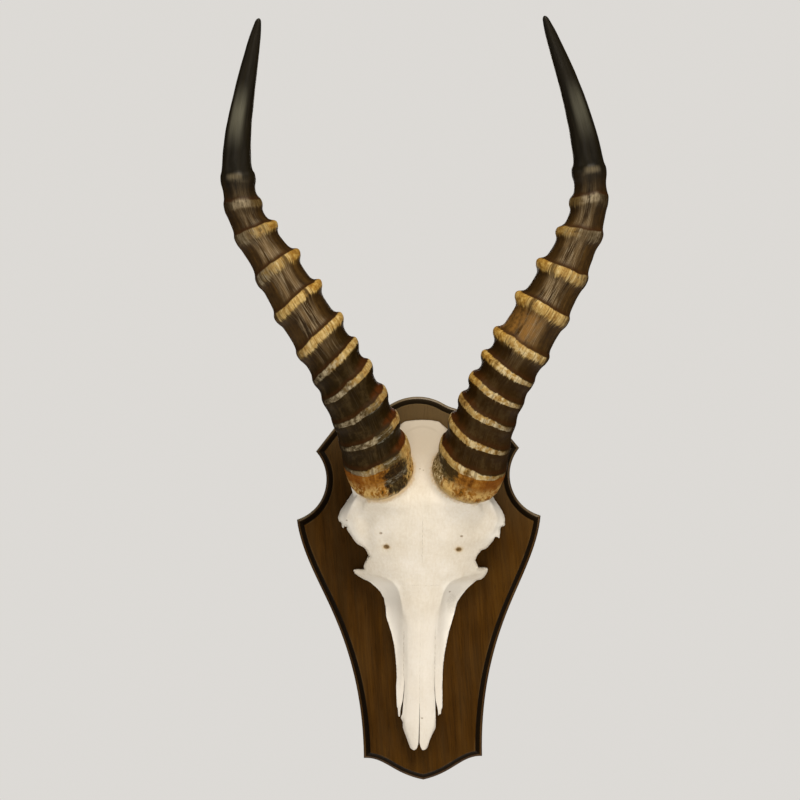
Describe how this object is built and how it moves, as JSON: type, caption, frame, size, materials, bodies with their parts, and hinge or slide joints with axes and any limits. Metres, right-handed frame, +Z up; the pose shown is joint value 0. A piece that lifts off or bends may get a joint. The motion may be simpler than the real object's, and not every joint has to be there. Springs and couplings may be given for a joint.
{
  "type": "blesbok skull trophy",
  "caption": "Bleached antelope skull cap with ringed, curving horns, screwed to a flat wooden shield with a moulded edge, to hang on a wall.",
  "frame": {"origin": "middle of the shield's flat back, half way up the shield, on the wall's surface", "axes": "+Z up along the shield towards the horn tips, +Y from the trophy into the wall, +X to the viewer's right, so the face looks towards -Y"},
  "size_m": [0.2824, 0.1518, 0.5725],
  "materials": {
    "shield_wood": "dark walnut stain with a satin varnish",
    "bone": "bleached bone, matt and slightly porous",
    "horn_sheath": "natural horn, dark brown necks, cream worn ring crests, smooth black tips",
    "screw_steel": "yellow zinc plated"
  },
  "bodies": {
    "root": {"shield": "shield_wood", "skull": "bone", "horn_left": "horn_sheath", "horn_right": "horn_sheath", "screw_upper": "screw_steel", "screw_lower": "screw_steel"}
  },
  "joints": []
}
